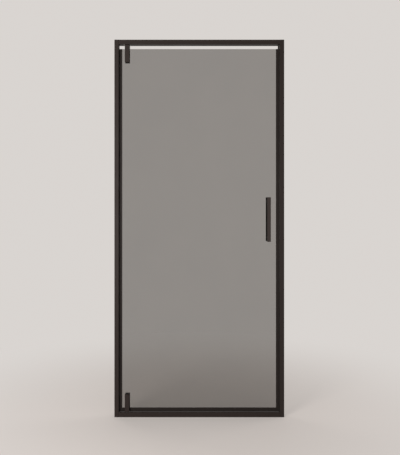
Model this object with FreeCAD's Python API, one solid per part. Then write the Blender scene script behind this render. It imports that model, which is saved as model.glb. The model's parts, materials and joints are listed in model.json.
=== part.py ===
import FreeCAD, Part
import math
import os

# Framed pivot shower door for an alcove: black aluminium frame, smoked glass leaf that turns on a
# pin at the top and a pin at the bottom, both set in from the hinge edge of the glass.
#
# Millimetres. X runs from the hinge side (-) to the strike side (+), -Y is the room, +Y is the
# shower, +Z is up. The origin is the middle of the frame's foot, on the tray, in the glass plane.

Vector = FreeCAD.Vector

# ---------------------------------------------------------------------------------------------
# Driving dimensions
# ---------------------------------------------------------------------------------------------

# Frame
frame_width = 900.0
frame_height = 2000.0
frame_depth = 38.0
jamb_face = 23.0            # width of a jamb seen from the room
header_face = 24.0          # height of the header seen from the room
sill_face = 25.0            # height of the sill's front face
sill_lip_width = 3.0        # raised lip along the sill's front edge
sill_lip_height = 3.5       # from the sill's top up to the lip's top
sill_lip_edge = 0.7
sill_fall = 1.5             # the sill's top drops this much towards the shower
profile_wall = 1.6          # wall of the frame extrusions
edge_radius = 1.5           # rounding of the frame's long outer edges
groove_from_top = 14.5      # shadow groove along the header
groove_width = 1.5
groove_depth = 0.8

# Wall channels hidden in the jambs
channel_leg = 16.0
channel_wall = 1.6
channel_clearance = 0.3     # channel leg to jamb leg, each side
jamb_wall_gap = 0.5         # jamb edges stay off the wall
wall_hole_radius = 2.75
wall_hole_inset = 150.0     # first and last wall screw, from the frame's ends
wall_hole_count = 4

# Screws that hold each jamb on its channel, and their snap caps
fixing_inset = 250.0
fixing_count = 4
fixing_from_wall = 9.0
tapping_shank_radius = 1.75
tapping_head_radius = 3.6
tapping_head_height = 2.0
fixing_screw_length = 9.0
snap_cap_radius = 5.2
snap_cap_wall = 0.8
snap_cap_dome = 0.8

# Corner joints: screws through the jamb webs into ports inside the header and the sill
port_outer_radius = 3.2
port_rib = 1.6              # thickness of the rib between a port and the wall that carries it
port_slit = 1.8
screw_head_room = 0.4       # corner screw heads to the jamb's legs
sill_port_height = 11.0
corner_screw_length = 20.0
screw_hole_clearance = 0.35  # radial, where a screw passes through
thread_clearance = 0.03      # radial, where a screw is threaded in

# Jamb end caps
cap_thickness = 1.5
cap_leg_thickness = 1.4
cap_leg_length = 12.0
cap_leg_from_wall = 3.0
cap_leg_width = 12.0
cap_leg_clearance = 0.2

# Glass leaf
glass_thickness = 6.0
glass_corner_radius = 3.0
glass_top_gap = 22.0        # header underside to glass
glass_bottom_gap = 6.0      # sill front edge to glass
hinge_glass_gap = 8.0       # jamb to glass on the hinge side
strike_glass_gap = 12.0     # jamb to glass on the strike side

# Pivot blocks
pivot_inset = 44.0          # jamb to pivot axis
block_width = 24.0
block_height = 92.0
block_gap = 2.0             # block to header, and block to sill
block_edge = 0.8            # chamfer of the block's outer edges
gasket_thickness = 1.0
gasket_margin = 0.4
boss_depth = 21.0           # pin boss, from the block's outer end
boss_width = 17.0
boss_back = 9.0             # pin boss, from the glass plane towards the shower
boss_corner_radius = 3.0
boss_clearance = 0.3        # boss to the pocket of the other half
notch_clearance = 1.0       # boss to glass
clamp_screw_first = 15.0    # from the block's inner end
clamp_screw_pitch = 30.0
clamp_screw_radius = 3.0
clamp_head_radius = 5.6
clamp_head_height = 2.6
clamp_screw_length = 31.0
clamp_socket_width = 4.0    # hexagon, across flats
clamp_socket_depth = 2.4
clamp_bush_radius = 6.0
clamp_bush_fit = 0.1

# Pivot pins and their bearings
pin_radius = 4.0
pin_in_block = 17.0
pin_in_rail = 12.0
pin_end_chamfer = 0.8
pin_seat_clearance = 0.02
pin_running_clearance = 0.05
bush_wall = 2.0
bush_flange_radius = 9.0
bush_flange = 1.2
bush_length = 13.0
bush_press_clearance = 0.01
thrust_play = 0.05
housing_length = 46.0
housing_clearance = 0.1
housing_edge = 1.0
collar_radius = 10.0
collar_clearance = 0.3
housing_screw_pitch = 32.0
housing_screw_radius = 2.0
housing_head_radius = 3.4
housing_head_height = 1.4
housing_screw_length = 10.0
set_screw_radius = 2.5
set_screw_length = 4.6
set_screw_from_end = 8.0
set_screw_socket = 2.5
set_screw_socket_depth = 2.0

# Seals on the glass edges
seal_leg_wall = 1.4
seal_fit = 0.1              # seal leg to glass
seal_web = 1.5
hinge_seal_leg = 8.3        # how far the clip reaches onto the glass
strike_seal_leg = 6.5
bulb_sink = 0.8             # how far the bulb sinks into the clip's web
bulb_wall = 0.8
bulb_clearance = 0.4        # bulb to jamb, over the whole swing
seal_floor_gap = 1.5        # side seals to sill
seal_end_clearance = 0.3
drip_leg = 13.5
drip_wiper_gap = 0.8        # wiper to the sill's lip, which it passes over
drip_wiper_y = 0.8          # wiper, from the glass plane towards the shower
drip_wiper_thickness = 0.9
drip_blade_reach = 6.5
drip_blade_thickness = 1.0
drip_blade_drop = 3.6

# Magnetic closing strip
magnet_thickness = 4.0
magnet_width = 6.2
magnet_fit = 0.05
magnet_skin = 0.8
magnet_air_gap = 0.6
holder_stand_out = 1.2      # how far the jamb's holder stands out of the jamb
holder_foot_width = 10.4
holder_foot_thickness = 4.4
holder_fit = 0.2
holder_edge = 0.7
slot_lip = 1.2

# Closing stop, an angle strip bonded to the strike jamb behind the door's seal
stop_reach = 8.0
stop_fin = 1.6
stop_foot = 10.0
stop_foot_thickness = 1.4
stop_gap = 0.4              # fin to the door's seal
stop_fillet = 0.8

# Handles, back to back through the glass
handle_bar_width = 18.0
handle_bar_thickness = 14.0
handle_bar_length = 235.0
handle_bar_edge = 1.0
handle_standoff = 24.0      # glass face to bar
handle_from_edge = 47.5     # glass strike edge to bar centre
handle_height = 1047.5
handle_post_pitch = 192.0
handle_post_radius = 6.5
handle_spigot_radius = 4.0
handle_spigot_length = 5.0
handle_washer_radius = 8.5
handle_washer_thickness = 1.0
handle_stud_radius = 3.0
handle_stud_in_post = 14.0
handle_bush_radius = 5.0
handle_grub_radius = 2.0
handle_grub_length = 3.0
handle_grub_socket = 2.0
handle_grub_socket_depth = 1.2

# ---------------------------------------------------------------------------------------------
# Places worked out from the dimensions
# ---------------------------------------------------------------------------------------------

half_width = frame_width / 2
half_depth = frame_depth / 2
half_glass = glass_thickness / 2
opening_half = half_width - jamb_face
header_bottom = frame_height - header_face
jamb_height = frame_height - cap_thickness
pivot_x = -opening_half + pivot_inset
glass_left = -opening_half + hinge_glass_gap
glass_right = opening_half - strike_glass_gap
glass_top = header_bottom - glass_top_gap
glass_bottom = sill_face + glass_bottom_gap
plate_y = half_glass + gasket_thickness
port_y = half_depth - profile_wall - screw_head_room - tapping_head_radius
header_port_z = frame_height - header_face / 2
channel_half = half_depth - profile_wall - channel_clearance
holder_low = sill_face + seal_floor_gap
holder_high = header_bottom - seal_floor_gap
handle_x = glass_right - handle_from_edge
tiny = 0.5                  # how far a cutting tool runs past the face it opens
match = 0.05                # how near an edge lies to the place it is looked for


# ---------------------------------------------------------------------------------------------
# Profiles
# ---------------------------------------------------------------------------------------------

def rounded_wire(corners, place):
    """Closed wire through corners (u, v) or (u, v, radius), laid in space by place(u, v)."""
    joins = []
    for index, corner in enumerate(corners):
        here = Vector(corner[0], corner[1], 0)
        if len(corner) == 2:
            joins.append((here, None, here))
            continue
        before = corners[index - 1]
        after = corners[(index + 1) % len(corners)]
        back = (Vector(before[0], before[1], 0) - here).normalize()
        ahead = (Vector(after[0], after[1], 0) - here).normalize()
        half_angle = back.getAngle(ahead) / 2
        tangent = corner[2] / math.tan(half_angle)
        bisector = (back + ahead).normalize()
        middle = here + bisector * (corner[2] / math.sin(half_angle) - corner[2])
        joins.append((here + back * tangent, middle, here + ahead * tangent))
    edges = []
    for index, (start, middle, end) in enumerate(joins):
        if middle is not None:
            arc = Part.Arc(place(start.x, start.y), place(middle.x, middle.y), place(end.x, end.y))
            edges.append(arc.toShape())
        following = joins[(index + 1) % len(joins)][0]
        edges.append(Part.LineSegment(place(end.x, end.y), place(following.x, following.y)).toShape())
    return Part.Wire(edges)


def upright(corners, low, high):
    """Profile in X and Y, extruded from Z = low to Z = high."""
    face = Part.Face(rounded_wire(corners, lambda x, y: Vector(x, y, low)))
    return face.extrude(Vector(0, 0, high - low))


def level(corners, left, right):
    """Profile in Y and Z, extruded from X = left to X = right."""
    face = Part.Face(rounded_wire(corners, lambda y, z: Vector(left, y, z)))
    return face.extrude(Vector(right - left, 0, 0))


def sheet(corners, front, back):
    """Outline in X and Z, extruded from Y = front to Y = back."""
    face = Part.Face(rounded_wire(corners, lambda x, z: Vector(x, front, z)))
    return face.extrude(Vector(0, back - front, 0))


def block(x_range, y_range, z_range):
    low = Vector(min(x_range), min(y_range), min(z_range))
    high = Vector(max(x_range), max(y_range), max(z_range))
    size = high - low
    return Part.makeBox(size.x, size.y, size.z, low)


def rod(radius, start, end):
    """Cylinder from one point to another."""
    axis = end - start
    return Part.makeCylinder(radius, axis.Length, start, axis)


def rectangle(low_u, high_u, low_v, high_v, *radius):
    """Corners of a rectangle, each with the same rounding if one is given."""
    corners = [(low_u, low_v), (high_u, low_v), (high_u, high_v), (low_u, high_v)]
    return [corner + radius for corner in corners]


def rims_at(shape, centre):
    """Round edges of a shape that lie about a centre."""
    return [edge for edge in shape.Edges if edge.Closed and (edge.CenterOfMass - centre).Length < match]


def fused(shapes):
    """One solid from several, with the seams between flush faces taken out."""
    return shapes[0].fuse(shapes[1:]).removeSplitter() if len(shapes) > 1 else shapes[0]


def save(name, *shapes):
    """Writes one node, of one solid or of several alike."""
    shape = shapes[0] if len(shapes) == 1 else Part.makeCompound(list(shapes))
    shape.exportStep("parts/" + name + ".step")


# ---------------------------------------------------------------------------------------------
# Screws
# ---------------------------------------------------------------------------------------------

def hexagon_socket(across_flats, depth, mouth, inward):
    """Hexagonal hole with its mouth at a point, running inward."""
    corner_radius = across_flats / math.sqrt(3)
    points = []
    for corner in range(7):
        angle = math.radians(60 * corner)
        points.append(Vector(corner_radius * math.cos(angle), corner_radius * math.sin(angle), 0))
    prism = Part.Face(Part.makePolygon(points)).extrude(Vector(0, 0, depth))
    prism.Placement = FreeCAD.Placement(mouth, FreeCAD.Rotation(Vector(0, 0, 1), inward))
    return prism


def pan_screw(seat, inward, shank_radius, head_radius, head_height, length):
    """Screw whose head sits on the seat point and whose shank runs inward."""
    shank = rod(shank_radius, seat, seat + inward * length)
    head = rod(head_radius, seat - inward * head_height, seat)
    top = seat - inward * head_height
    head = head.makeFillet(head_height / 2, rims_at(head, top))
    return fused([shank, head])


def countersunk_screw(seat, inward, shank_radius, head_radius, head_height, length):
    """Screw whose flat head lies flush with the seat point."""
    head = Part.makeCone(head_radius, shank_radius, head_height, seat, inward)
    shank = rod(shank_radius, seat + inward * head_height, seat + inward * length)
    return fused([head, shank])


def countersink(seat, inward, shank_radius, head_radius, head_height, length):
    """Tool that cuts the seat of a countersunk screw."""
    grown = head_radius + thread_clearance
    head = Part.makeCone(grown, shank_radius + thread_clearance, head_height, seat, inward)
    mouth = rod(grown, seat - inward * tiny, seat)
    hole = rod(shank_radius + thread_clearance, seat, seat + inward * length)
    return fused([mouth, head, hole])


# ---------------------------------------------------------------------------------------------
# Frame: wall channels, jambs and their screws
# ---------------------------------------------------------------------------------------------

def spaced(count, inset):
    """Heights spread evenly between the insets from the frame's foot and top."""
    step = (frame_height - 2 * inset) / (count - 1)
    return [inset + index * step for index in range(count)]


def from_wall(side, distance):
    """X of a point at a distance from the wall of that side, -1 hinge and +1 strike."""
    return side * (half_width - distance)


def wall_channel(side):
    """U-section screwed to the wall; the jamb slides over it and is trued up on it."""
    inner = channel_half - channel_wall
    corners = [
        (from_wall(side, 0), -channel_half),
        (from_wall(side, channel_leg), -channel_half),
        (from_wall(side, channel_leg), -inner),
        (from_wall(side, channel_wall), -inner),
        (from_wall(side, channel_wall), inner),
        (from_wall(side, channel_leg), inner),
        (from_wall(side, channel_leg), channel_half),
        (from_wall(side, 0), channel_half),
    ]
    channel = upright(corners, 0, jamb_height)
    holes = []
    for height in spaced(wall_hole_count, wall_hole_inset):
        start = Vector(from_wall(side, -tiny), 0, height)
        end = Vector(from_wall(side, channel_wall + tiny), 0, height)
        holes.append(rod(wall_hole_radius, start, end))
    for height in spaced(fixing_count, fixing_inset):
        start = Vector(from_wall(side, fixing_from_wall), inner - tiny, height)
        end = Vector(from_wall(side, fixing_from_wall), channel_half + tiny, height)
        holes.append(rod(tapping_shank_radius + thread_clearance, start, end))
    return channel.cut(holes)


def corner_screw_places():
    """Where the corner screws lie, across the depth and in height."""
    places = []
    for height in (sill_port_height, header_port_z):
        for across in (-port_y, port_y):
            places.append((across, height))
    return places


def drilled_jamb(jamb, side):
    """The jamb with its corner screw holes and its fixing holes."""
    holes = []
    for across, height in corner_screw_places():
        start = Vector(from_wall(side, jamb_face - profile_wall - tiny), across, height)
        end = Vector(from_wall(side, jamb_face + tiny), across, height)
        holes.append(rod(tapping_shank_radius + screw_hole_clearance, start, end))
    for height in spaced(fixing_count, fixing_inset):
        start = Vector(from_wall(side, fixing_from_wall), half_depth - profile_wall - tiny, height)
        end = Vector(from_wall(side, fixing_from_wall), half_depth + tiny, height)
        holes.append(rod(tapping_shank_radius + screw_hole_clearance, start, end))
    return jamb.cut(holes)


def hinge_jamb():
    """Plain U-section, open towards the wall."""
    side = -1
    inner_y = half_depth - profile_wall
    inner_x = jamb_face - profile_wall
    corners = [
        (from_wall(side, jamb_wall_gap), -half_depth),
        (from_wall(side, jamb_face), -half_depth, edge_radius),
        (from_wall(side, jamb_face), half_depth, edge_radius),
        (from_wall(side, jamb_wall_gap), half_depth),
        (from_wall(side, jamb_wall_gap), inner_y),
        (from_wall(side, inner_x), inner_y),
        (from_wall(side, inner_x), -inner_y),
        (from_wall(side, jamb_wall_gap), -inner_y),
    ]
    return drilled_jamb(upright(corners, 0, jamb_height), side)


def slot_dimensions():
    """Half mouth, half pocket and depth of the snap slot that takes the magnet holder."""
    half_mouth = magnet_width / 2 + magnet_fit + magnet_skin + holder_fit
    half_pocket = holder_foot_width / 2 + holder_fit
    depth = slot_lip + holder_foot_thickness + 2 * holder_fit
    return half_mouth, half_pocket, depth


def strike_jamb():
    """U-section with a snap slot in its web for the magnet holder."""
    side = 1
    half_mouth, half_pocket, depth = slot_dimensions()
    inner_y = half_depth - profile_wall
    inner_x = jamb_face - profile_wall
    pocket_x = jamb_face - depth
    corners = [
        (from_wall(side, jamb_wall_gap), -half_depth),
        (from_wall(side, jamb_face), -half_depth, edge_radius),
        (from_wall(side, jamb_face), -half_mouth),
        (from_wall(side, jamb_face - slot_lip), -half_mouth),
        (from_wall(side, jamb_face - slot_lip), -half_pocket),
        (from_wall(side, pocket_x), -half_pocket),
        (from_wall(side, pocket_x), half_pocket),
        (from_wall(side, jamb_face - slot_lip), half_pocket),
        (from_wall(side, jamb_face - slot_lip), half_mouth),
        (from_wall(side, jamb_face), half_mouth),
        (from_wall(side, jamb_face), half_depth, edge_radius),
        (from_wall(side, jamb_wall_gap), half_depth),
        (from_wall(side, jamb_wall_gap), inner_y),
        (from_wall(side, inner_x), inner_y),
        (from_wall(side, inner_x), half_pocket + profile_wall),
        (from_wall(side, pocket_x - profile_wall), half_pocket + profile_wall),
        (from_wall(side, pocket_x - profile_wall), -half_pocket - profile_wall),
        (from_wall(side, inner_x), -half_pocket - profile_wall),
        (from_wall(side, inner_x), -inner_y),
        (from_wall(side, jamb_wall_gap), -inner_y),
    ]
    return drilled_jamb(upright(corners, 0, jamb_height), side)


def closing_stop_strip():
    """Angle strip: its foot lies on the jamb, its fin stands behind the closed door's seal."""
    root = from_wall(1, jamb_face)
    tip = from_wall(1, jamb_face + stop_reach)
    foot_x = from_wall(1, jamb_face + stop_foot_thickness)
    front = half_glass + seal_fit + seal_leg_wall + stop_gap
    back = front + stop_fin
    foot_end = front + stop_foot
    corners = [
        (tip, front, stop_fin / 3),
        (root, front),
        (root, foot_end),
        (foot_x, foot_end, stop_foot_thickness / 3),
        (foot_x, back, stop_fillet),
        (tip, back, stop_fin / 3),
    ]
    return upright(corners, holder_low, holder_high)


def jamb_cap(side):
    """Plastic cap on a jamb's top, held by two legs inside the wall channel."""
    near_wall = from_wall(side, jamb_wall_gap)
    inner_edge = from_wall(side, jamb_face)
    corners = [
        (near_wall, -half_depth),
        (inner_edge, -half_depth, edge_radius),
        (inner_edge, half_depth, edge_radius),
        (near_wall, half_depth),
    ]
    pieces = [upright(corners, jamb_height, frame_height)]
    leg_outer = channel_half - channel_wall - cap_leg_clearance
    leg_x = (from_wall(side, cap_leg_from_wall), from_wall(side, cap_leg_from_wall + cap_leg_width))
    for way in (-1, 1):
        leg_y = (way * (leg_outer - cap_leg_thickness), way * leg_outer)
        pieces.append(block(leg_x, leg_y, (jamb_height - cap_leg_length, jamb_height)))
    return fused(pieces)


def corner_screws():
    """Screws from inside the jambs into the ports of the header and the sill."""
    screws = []
    for side in (-1, 1):
        for across, height in corner_screw_places():
            seat = Vector(from_wall(side, jamb_face - profile_wall), across, height)
            inward = Vector(-side, 0, 0)
            screws.append(pan_screw(seat, inward, tapping_shank_radius, tapping_head_radius,
                                    tapping_head_height, corner_screw_length))
    return screws


def fixing_places():
    places = []
    for side in (-1, 1):
        for height in spaced(fixing_count, fixing_inset):
            places.append(Vector(from_wall(side, fixing_from_wall), half_depth, height))
    return places


def fixing_screws():
    """Screws on the shower side that hold the jambs on the wall channels."""
    inward = Vector(0, -1, 0)
    return [pan_screw(seat, inward, tapping_shank_radius, tapping_head_radius,
                      tapping_head_height, fixing_screw_length) for seat in fixing_places()]


def snap_caps():
    """Hollow caps over the fixing screws, with a slightly domed rim."""
    caps = []
    outward = Vector(0, 1, 0)
    height = tapping_head_height + snap_cap_wall + thread_clearance
    for seat in fixing_places():
        shell = rod(snap_cap_radius, seat, seat + outward * height)
        shell = shell.makeFillet(snap_cap_dome, rims_at(shell, seat + outward * height))
        inside = rod(snap_cap_radius - snap_cap_wall, seat, seat + outward * (height - snap_cap_wall))
        caps.append(shell.cut(inside))
    return caps


# ---------------------------------------------------------------------------------------------
# Frame: header and sill, hollow extrusions with screw ports
# ---------------------------------------------------------------------------------------------

def with_ports(rail, height):
    """Adds the two slit screw ports that run the whole length of a rail."""
    start = Vector(-opening_half, 0, height)
    end = Vector(opening_half, 0, height)
    rings = []
    bores = []
    for way in (-1, 1):
        offset = Vector(0, way * port_y, 0)
        rings.append(rod(port_outer_radius, start + offset, end + offset))
        rib_y = (way * port_y, way * (half_depth - profile_wall / 2))
        rib_z = (height - port_rib / 2, height + port_rib / 2)
        rings.append(block((-opening_half, opening_half), rib_y, rib_z))
        bores.append(rod(tapping_shank_radius + thread_clearance, start + offset, end + offset))
        slit_y = (way * port_y, way * (port_y - port_outer_radius - tiny))
        slit_z = (height - port_slit / 2, height + port_slit / 2)
        bores.append(block((-opening_half, opening_half), slit_y, slit_z))
    return fused([rail] + rings).cut(bores)


def groove_corners(way, low, high):
    """Corners of the shadow groove on a header face, from low to high."""
    face = way * half_depth
    floor = way * (half_depth - groove_depth)
    return [(face, low), (floor, low), (floor, high), (face, high)]


def header_rail():
    """Hollow header with a fine shadow groove, and the seats of the top pivot."""
    groove_high = frame_height - groove_from_top
    groove_low = groove_high - groove_width
    back_groove = groove_corners(1, groove_low, groove_high)
    front_groove = groove_corners(-1, groove_low, groove_high)
    outer = [
        (-half_depth, header_bottom, edge_radius),
        (half_depth, header_bottom, edge_radius),
        *back_groove,
        (half_depth, frame_height, edge_radius),
        (-half_depth, frame_height, edge_radius),
        *reversed(front_groove),
    ]
    rail = level(outer, -opening_half, opening_half)
    cavity = level(header_cavity(), -opening_half, opening_half)
    rail = with_ports(rail.cut(cavity), header_port_z)
    mouth = Vector(pivot_x, 0, header_bottom)
    up = Vector(0, 0, 1)
    bush_hole = rod(pin_radius + bush_wall + screw_hole_clearance, mouth - up * tiny,
                    mouth + up * (profile_wall + tiny))
    return rail.cut([bush_hole] + housing_screw_tools(1))


def header_cavity():
    wall = profile_wall
    return rectangle(-half_depth + wall, half_depth - wall, header_bottom + wall, frame_height - wall)


def sill_top(y):
    """Height of the sill's sloping top, behind the lip."""
    return sill_face - sill_lip_height - sill_fall * (y + half_depth) / frame_depth


def sill_rail():
    """Hollow sill with a lip towards the room, a top that falls towards the shower behind the lip,
    and an opening for the collar of the bottom pivot."""
    lip_back = -half_depth + sill_lip_width
    outer = [
        (-half_depth, 0),
        (half_depth, 0),
        (half_depth, sill_top(half_depth), edge_radius),
        (lip_back, sill_top(lip_back)),
        (lip_back, sill_face, sill_lip_edge),
        (-half_depth, sill_face, edge_radius),
    ]
    wall = profile_wall
    inner_y = half_depth - wall
    inner = [
        (-inner_y, wall),
        (inner_y, wall),
        (inner_y, sill_top(inner_y) - wall),
        (-inner_y, sill_top(-inner_y) - wall),
    ]
    rail = level(outer, -opening_half, opening_half)
    cavity = level(inner, -opening_half, opening_half)
    rail = with_ports(rail.cut(cavity), sill_port_height)
    collar_hole = rod(collar_radius + collar_clearance, Vector(pivot_x, 0, sill_face / 2),
                      Vector(pivot_x, 0, sill_face + tiny))
    return rail.cut([collar_hole] + housing_screw_tools(-1))


# ---------------------------------------------------------------------------------------------
# Pivot bearings, end = +1 in the header and -1 in the sill
# ---------------------------------------------------------------------------------------------

def rail_plane(end):
    """Height of the rail face that the pivot block runs against."""
    return header_bottom if end > 0 else sill_face


def outward(end):
    return Vector(0, 0, end)


def pivot_point(height):
    return Vector(pivot_x, 0, height)


def housing_screws(end, maker):
    """One of the screw makers at both housing screws; they enter from the underside of a rail."""
    base = header_bottom if end > 0 else 0.0
    results = []
    for way in (-1, 1):
        seat = Vector(pivot_x + way * housing_screw_pitch / 2, 0, base)
        results.append(maker(seat, Vector(0, 0, 1), housing_screw_radius, housing_head_radius,
                             housing_head_height, housing_screw_length))
    return results


def housing_screw_tools(end):
    return housing_screws(end, countersink)


def bush_bore(end):
    """Tool for the bore that the bush is pressed into."""
    mouth = pivot_point(rail_plane(end))
    depth = bush_length + tiny
    return rod(pin_radius + bush_wall + bush_press_clearance, mouth, mouth + outward(end) * depth)


def pivot_housing(end):
    """Block between the ports that carries the bush; in the sill it has a collar through the top."""
    half_length = housing_length / 2
    half_block = port_y - port_outer_radius - housing_clearance
    if end > 0:
        low = header_bottom + profile_wall
        high = frame_height - profile_wall - housing_clearance
    else:
        low = profile_wall
        high = sill_top(half_block) - profile_wall - housing_clearance
    outline = rectangle(pivot_x - half_length, pivot_x + half_length, -half_block, half_block, housing_edge)
    housing = upright(outline, low, high)
    if end < 0:
        housing = fused([housing, rod(collar_radius, pivot_point(low), pivot_point(sill_face))])
    return housing.cut([bush_bore(end)] + housing_screw_tools(end))


def pivot_bush(end):
    """Flanged plastic bush; the flange lies on the rail."""
    mouth = pivot_point(rail_plane(end))
    away = outward(end)
    body = rod(pin_radius + bush_wall, mouth, mouth + away * bush_length)
    flange = rod(bush_flange_radius, mouth - away * bush_flange, mouth)
    bore = rod(pin_radius + pin_running_clearance, mouth - away * (bush_flange + tiny),
               mouth + away * (bush_length + tiny))
    return fused([body, flange]).cut(bore)


def thrust_washer():
    """Washer between the bottom bush and the bottom block, which carries the door's weight."""
    low = sill_face + bush_flange
    high = sill_face + block_gap - thrust_play
    ring = rod(bush_flange_radius, pivot_point(low), pivot_point(high))
    bore_radius = pin_radius + pin_running_clearance
    return ring.cut(rod(bore_radius, pivot_point(low - tiny), pivot_point(high + tiny)))


# ---------------------------------------------------------------------------------------------
# Pivot blocks on the glass
# ---------------------------------------------------------------------------------------------

def block_outer(end):
    """Height of the block's outer end, next to the rail."""
    return rail_plane(end) - end * block_gap


def block_inner(end):
    return block_outer(end) - end * block_height


def glass_edge(end):
    return glass_top if end > 0 else glass_bottom


def clamp_heights(end):
    first = block_inner(end) + end * clamp_screw_first
    return [first, first + end * clamp_screw_pitch]


def block_x():
    return (pivot_x - block_width / 2, pivot_x + block_width / 2)


def chamfered_plate(end, glass_side, outer_side):
    """Plate of the block from the glass side to its outer face, with chamfered outer edges."""
    left, right = block_x()
    low, high = sorted((block_inner(end), block_outer(end)))
    plate = block((left, right), (glass_side, outer_side), (low, high))
    outer_edges = [edge for edge in plate.Edges
                   if all(abs(vertex.Y - outer_side) < match for vertex in edge.Vertexes)]
    return plate.makeChamfer(block_edge, outer_edges)


def pin_bore(end):
    mouth = pivot_point(block_outer(end))
    away = outward(end)
    return rod(pin_radius + pin_seat_clearance, mouth + away * tiny, mouth - away * pin_in_block)


def set_screw_hole(end, radius, start_y, end_y):
    height = block_outer(end) - end * set_screw_from_end
    return rod(radius, Vector(pivot_x, start_y, height), Vector(pivot_x, end_y, height))


def boss_outline(end, clearance):
    """Corners of the pin boss, grown by a clearance, from the block's outer end to its rounded end."""
    half_boss = boss_width / 2 + clearance
    outer = block_outer(end)
    depth_end = outer - end * (boss_depth + clearance)
    radius = boss_corner_radius + clearance
    return [
        (pivot_x - half_boss, outer),
        (pivot_x - half_boss, depth_end, radius),
        (pivot_x + half_boss, depth_end, radius),
        (pivot_x + half_boss, outer),
    ]


def pivot_body(end):
    """Room-side half of the block, with the boss that holds the pin past the glass edge."""
    plate = chamfered_plate(end, -plate_y, -half_depth)
    outer = block_outer(end)
    filler_end = glass_edge(end) + end * notch_clearance
    filler = block(block_x(), (-plate_y, plate_y), (outer, filler_end))
    boss = sheet(boss_outline(end, 0), -plate_y, boss_back)
    tools = [pin_bore(end), set_screw_hole(end, set_screw_radius + thread_clearance, 0, boss_back + tiny)]
    thread_end = half_depth - clamp_screw_length - tiny
    for height in clamp_heights(end):
        start = Vector(pivot_x, -plate_y + tiny, height)
        tools.append(rod(clamp_screw_radius + thread_clearance, start, Vector(pivot_x, thread_end, height)))
    return fused([plate, filler, boss]).cut(tools)


def pivot_clamp(end):
    """Shower-side half of the block, pulled onto the glass by two countersunk screws."""
    plate = chamfered_plate(end, plate_y, half_depth)
    pocket = sheet(boss_outline(end, boss_clearance), plate_y - tiny, boss_back + boss_clearance)
    key_radius = set_screw_radius + screw_hole_clearance
    tools = [pocket, set_screw_hole(end, key_radius, boss_back, half_depth + tiny)]
    for height in clamp_heights(end):
        seat = Vector(pivot_x, half_depth, height)
        tools.append(countersink(seat, Vector(0, -1, 0), clamp_screw_radius, clamp_head_radius,
                                 clamp_head_height, clamp_screw_length))
    return plate.cut(tools)


def clamp_screws(end):
    screws = []
    inward = Vector(0, -1, 0)
    for height in clamp_heights(end):
        seat = Vector(pivot_x, half_depth, height)
        screw = countersunk_screw(seat, inward, clamp_screw_radius, clamp_head_radius,
                                  clamp_head_height, clamp_screw_length)
        socket = hexagon_socket(clamp_socket_width, clamp_socket_depth, seat, inward)
        screws.append(screw.cut(socket))
    return screws


def clamp_bushes(end):
    """Sleeves that keep the clamp screws off the glass."""
    sleeves = []
    for height in clamp_heights(end):
        front = Vector(pivot_x, -half_glass, height)
        back = Vector(pivot_x, half_glass, height)
        sleeve = rod(clamp_bush_radius - clamp_bush_fit, front, back)
        sleeves.append(sleeve.cut(rod(clamp_screw_radius + screw_hole_clearance, front, back)))
    return sleeves


def gasket(end, way):
    """Soft sheet between a block half and the glass; way = -1 room side, +1 shower side."""
    left, right = block_x()
    low, high = sorted((block_inner(end) + end * gasket_margin, glass_edge(end)))
    ys = (way * half_glass, way * plate_y)
    piece = block((left + gasket_margin, right - gasket_margin), ys, (low, high))
    tools = [boss_notch(end)]
    for height in clamp_heights(end):
        start = Vector(pivot_x, min(ys) - tiny, height)
        tools.append(rod(clamp_screw_radius + screw_hole_clearance, start, start + Vector(0, plate_y, 0)))
    return piece.cut(tools)


def boss_notch(end):
    """Tool for the rounded notch that lets the pin boss pass the glass and the gaskets."""
    return sheet(boss_outline(end, notch_clearance), -plate_y - tiny, plate_y + tiny)


def pivot_pin(end):
    """Steel pin from the block into the bush, chamfered at its running end."""
    start = pivot_point(block_outer(end) - end * pin_in_block)
    tip = pivot_point(rail_plane(end) + end * pin_in_rail)
    pin = rod(pin_radius, start, tip)
    return pin.makeChamfer(pin_end_chamfer, rims_at(pin, tip))


def pin_set_screw(end):
    """Headless screw that locks the pin in its boss."""
    height = block_outer(end) - end * set_screw_from_end
    inner = Vector(pivot_x, pin_radius + pin_seat_clearance, height)
    mouth = inner + Vector(0, set_screw_length, 0)
    screw = rod(set_screw_radius, inner, mouth)
    return screw.cut(hexagon_socket(set_screw_socket, set_screw_socket_depth, mouth, Vector(0, -1, 0)))


# ---------------------------------------------------------------------------------------------
# Glass
# ---------------------------------------------------------------------------------------------

def glass_panel():
    """Toughened glass leaf with its screw holes and the notches for the pin bosses."""
    outline = rectangle(glass_left, glass_right, glass_bottom, glass_top, glass_corner_radius)
    tools = []
    for end in (-1, 1):
        boss_end = block_outer(end) - end * (boss_depth + notch_clearance)
        if end * (glass_edge(end) - boss_end) > 0:
            tools.append(boss_notch(end))
        for height in clamp_heights(end):
            start = Vector(pivot_x, -glass_thickness, height)
            tools.append(rod(clamp_bush_radius, start, start + Vector(0, 2 * glass_thickness, 0)))
    for height in handle_heights():
        start = Vector(handle_x, -glass_thickness, height)
        tools.append(rod(handle_bush_radius, start, start + Vector(0, 2 * glass_thickness, 0)))
    return sheet(outline, -half_glass, half_glass).cut(tools)


# ---------------------------------------------------------------------------------------------
# Seals
# ---------------------------------------------------------------------------------------------

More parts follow.
